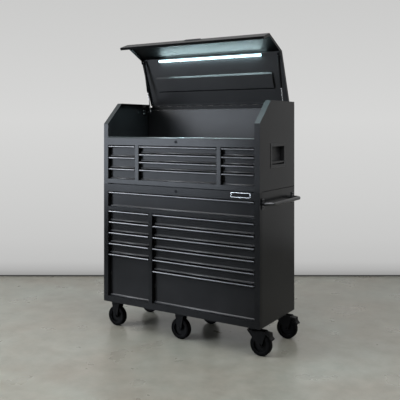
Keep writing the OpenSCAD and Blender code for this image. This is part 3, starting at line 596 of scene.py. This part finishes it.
def flat_stage(name, corners, made):
    """A flat stage surface between four corners."""
    mesh = bpy.data.meshes.new(name)
    mesh.from_pydata([tuple(c) for c in corners], [], [(0, 1, 2, 3)])
    mesh.materials.append(made)
    obj = bpy.data.objects.new(name, mesh)
    bpy.context.scene.collection.objects.link(obj)
    obj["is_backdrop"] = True


def concrete(name, low, high):
    """Pale trowelled concrete with broad soft patches and finer mottling, sealed to a soft sheen."""
    made, tree, shader = material(name)
    broad = ramp(tree, noise(tree, 1.3, 6.0, (1, 1, 1), 0.6), low, high, 0.3, 0.7)
    fine = ramp(tree, noise(tree, 8.0, 12.0, (1, 1, 1), 0.72), (0.66, 0.66, 0.65), (1, 1, 1), 0.22, 0.74)
    both = tree.nodes.new("ShaderNodeMix")
    both.data_type = "RGBA"
    both.blend_type = "MULTIPLY"
    both.inputs["Factor"].default_value = 1.0
    tree.links.new(broad, both.inputs[6])
    tree.links.new(fine, both.inputs[7])
    tree.links.new(both.outputs[2], shader.inputs["Base Color"])
    tree.links.new(span(tree, noise(tree, 3.1, 6.0), 0.25, 0.37), shader.inputs["Roughness"])
    bump(tree, shader, noise(tree, 40.0, 6.0), 0.04, 0.002)
    shader.inputs["Specular IOR Level"].default_value = 0.4
    return made


def mix_shaders(tree, amount, first, second):
    """A mix of two shaders by a value."""
    mix = tree.nodes.new("ShaderNodeMixShader")
    tree.links.new(amount, mix.inputs["Fac"])
    tree.links.new(first, mix.inputs[1])
    tree.links.new(second, mix.inputs[2])
    return mix.outputs["Shader"]


def one_sided_wall(name, greys):
    """A wall seen only from its front, with a grey for each of a few heights that camera and glossy rays see
    as is: painted light and shade.
    """
    made, tree, shader = material(name)
    coords = tree.nodes.new("ShaderNodeTexCoord")
    split = tree.nodes.new("ShaderNodeSeparateXYZ")
    tree.links.new(coords.outputs["Object"], split.inputs["Vector"])
    height = tree.nodes.new("ShaderNodeMapRange")
    height.inputs["From Max"].default_value = WALL_HEIGHT
    tree.links.new(split.outputs["Z"], height.inputs["Value"])
    first, last = greys[0][1], greys[-1][1]
    foot, top = (first, first, 0.98 * first), (last, last, 0.99 * last)
    colour = ramp(tree, height.outputs["Result"], foot, top, 0.0, 1.0)
    stops = colour.node.color_ramp.elements
    for at, grey in greys[1:-1]:
        stops.new(at / WALL_HEIGHT).color = (grey, grey, 0.99 * grey, 1)
    tree.links.new(colour, shader.inputs["Base Color"])
    tree.links.new(span(tree, noise(tree, 8.0), 0.8, 0.9), shader.inputs["Roughness"])
    even = tree.nodes.new("ShaderNodeEmission")
    tree.links.new(colour, even.inputs["Color"])
    ray = tree.nodes.new("ShaderNodeLightPath")
    seen = shader.outputs["BSDF"]
    for kind in ("Is Camera Ray", "Is Glossy Ray", "Is Transmission Ray"):
        seen = mix_shaders(tree, ray.outputs[kind], seen, even.outputs["Emission"])
    clear = tree.nodes.new("ShaderNodeBsdfTransparent")
    side = tree.nodes.new("ShaderNodeNewGeometry")
    seen = mix_shaders(tree, side.outputs["Backfacing"], seen, clear.outputs["BSDF"])
    tree.links.new(seen, tree.nodes["Material Output"].inputs["Surface"])
    return made


yaw = math.radians(CAMERA_YAW)
ahead = Vector((-math.sin(yaw), math.cos(yaw), 0))
right = Vector((math.cos(yaw), math.sin(yaw), 0))
eye = Vector(CAMERA_AT)
wall_foot = Vector((eye.x, eye.y, 0)) + ahead * WALL_DEPTH
up = Vector((0, 0, 1))
half_wall = right * WALL_HALF
flat_stage(
    "studio_floor",
    [(x * FLOOR_HALF, y * FLOOR_HALF, 0) for x, y in ((-1, -1), (1, -1), (1, 1), (-1, 1))],
    concrete("pale_concrete", (0.168, 0.154, 0.128), (0.18, 0.188, 0.165)),
)


def upright(foot, height):
    """Corners of an upright stage surface as wide as the wall."""
    low_edge = [foot - half_wall, foot + half_wall]
    return low_edge + [corner + up * height for corner in reversed(low_edge)]


flat_stage("studio_wall", upright(wall_foot, WALL_HEIGHT), one_sided_wall("pale_wall", WALL_PAINTED_LIGHT))
# A dark strip along the wall's foot, seen as is like the wall
foot_strip = wall_foot - ahead * FOOT_STRIP_OUT
flat_stage(
    "studio_skirting",
    upright(foot_strip, FOOT_STRIP_H),
    one_sided_wall("grey_skirting", FOOT_STRIP_GREYS),
)


def studio_air():
    """Soft light from above that dims towards the horizon, behind a pale background."""
    world = bpy.data.worlds.new("studio_air")
    world.use_nodes = True
    tree = world.node_tree
    coords = tree.nodes.new("ShaderNodeTexCoord")
    split = tree.nodes.new("ShaderNodeSeparateXYZ")
    tree.links.new(coords.outputs["Generated"], split.inputs["Vector"])
    sky = tree.nodes["Background"]
    dome = ramp(tree, split.outputs["Z"], (0.17, 0.175, 0.185), (0.6, 0.61, 0.63), 0.05, 0.8)
    tree.links.new(dome, sky.inputs["Color"])
    pale = tree.nodes.new("ShaderNodeBackground")
    pale.inputs["Color"].default_value = (0.63, 0.63, 0.625, 1)
    ray = tree.nodes.new("ShaderNodeLightPath")
    camera_ray = ray.outputs["Is Camera Ray"]
    seen = mix_shaders(tree, camera_ray, sky.outputs["Background"], pale.outputs["Background"])
    tree.links.new(seen, tree.nodes["World Output"].inputs["Surface"])
    bpy.context.scene.world = world


studio_air()

beam = Vector((0, -math.sin(LID_OPEN), -math.cos(LID_OPEN)))
along = Vector((0, -math.cos(LID_OPEN), math.sin(LID_OPEN)))
lens_middle = (lens_low + lens_high) / 2
# The lamp's light: each part's place from the lens's middle, aim, width and power
for name, at, aim, width, power in (
    ("lid_lamp", 0.014 * beam, beam, 0.018, 24.0),
    ("lid_lamp_upper", 0.012 * along + 0.004 * beam + Vector((0.05, 0, 0)), along, 0.008, 0.8),
    ("lid_lamp_lower", -0.012 * along + 0.004 * beam, -along, 0.008, 3.5),
):
    place = lens_middle + at
    lamp = softbox(name, place, place + aim, (LID_LAMP_LENGTH, width), power, LID_LAMP_TINT)
    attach(lamp, "lid")
softbox("overhead", (1.7, -1.3, 4.5), (1.7, -1.3, 0.0), (5.6, 4.2), 325)
softbox("upper_left", (-3.5, -1.3, 4.5), (-3.5, -1.3, 0.0), (2.0, 4.2), 100)
softbox("key", (-3.9, -3.6, 3.4), (0, -0.28, 1.0), (1.2, 1.2), 195)
softbox("front_left", (-2.65, -3.6, 1.65), (0, -0.28, 1.35), (2.2, 2.2), 50, (0.8, 0.88, 1.0), 90)
softbox("front_right", (4.4, 0.5, 3.2), (0.3, 0, 1.0), (1.6, 1.6), 36)

camera_data = bpy.data.cameras.new("photo_camera")
camera_data.lens = CAMERA_LENS
camera_data.sensor_width = 36.0
camera_data.shift_y = CAMERA_SHIFT_Y
camera = bpy.data.objects.new("photo_camera", camera_data)
camera.location = CAMERA_AT
camera.rotation_euler = (math.pi / 2, 0, yaw)
bpy.context.scene.collection.objects.link(camera)
bpy.context.scene.camera = camera
bpy.context.scene.view_settings.view_transform = "Standard"

low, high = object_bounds()
